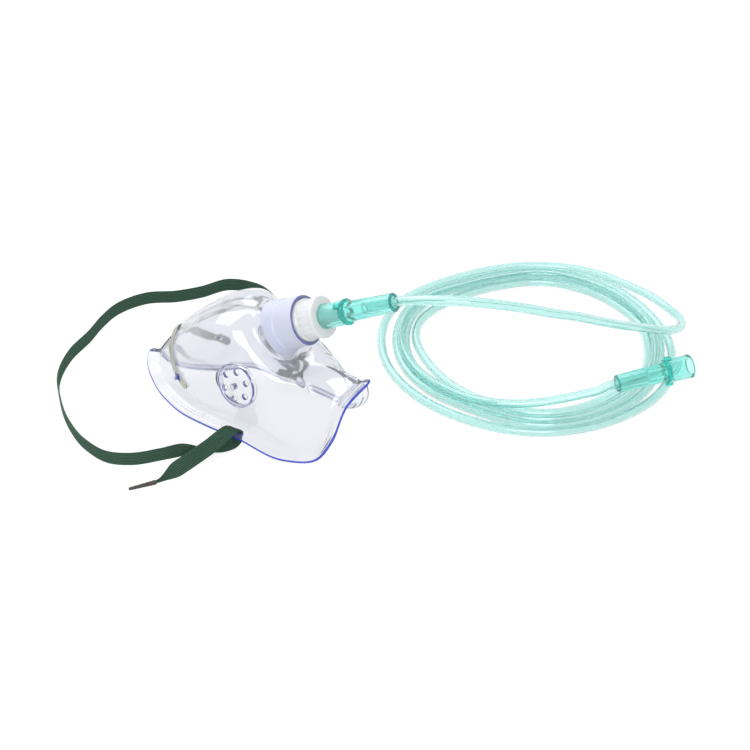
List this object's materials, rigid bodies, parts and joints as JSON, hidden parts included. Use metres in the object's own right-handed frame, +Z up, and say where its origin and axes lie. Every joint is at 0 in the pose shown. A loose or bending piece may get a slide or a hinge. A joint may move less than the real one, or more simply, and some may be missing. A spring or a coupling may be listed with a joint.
{
  "type": "oxygen face mask",
  "caption": "Clear soft oxygen face mask with nose clip, vent pads, push-fit port adapter, funnel connectors, coiled narrow supply tube and elastic head strap.",
  "frame": {"origin": "on the table under the middle of the box of the mask with its clip, adapter and mask funnel, tube and strap left out", "axes": "+X from the nose towards the chin and the port, +Y to the side that the coil lies on, +Z up from the table; the mask lies rim down"},
  "size_m": [0.3179, 0.2838, 0.102],
  "materials": {
    "soft_clear_plastic": "clear soft moulded PVC with a faint grey-lilac tint, blue at cut edges, frosted on the thick cuff",
    "clip_aluminium": "soft bent aluminium strip, satin",
    "adapter_plastic": "clear rigid moulded plastic",
    "funnel_plastic": "clear green soft moulded plastic",
    "tube_plastic": "clear pale green flexible tube, glossy",
    "strap_elastic": "woven elastic, dark green, ribbed along its length",
    "strap_tip_plastic": "crimped dark strap tip"
  },
  "bodies": {
    "root": {"mask_shell": "soft_clear_plastic", "nose_clip": "clip_aluminium", "port_adapter": "adapter_plastic", "mask_funnel": "funnel_plastic", "source_funnel": "funnel_plastic", "tube_lead": "tube_plastic", "tube_coil": "tube_plastic", "tube_tail": "tube_plastic", "head_strap": "strap_elastic", "strap_tip_near": "strap_tip_plastic", "strap_tip_far": "strap_tip_plastic"}
  },
  "joints": []
}
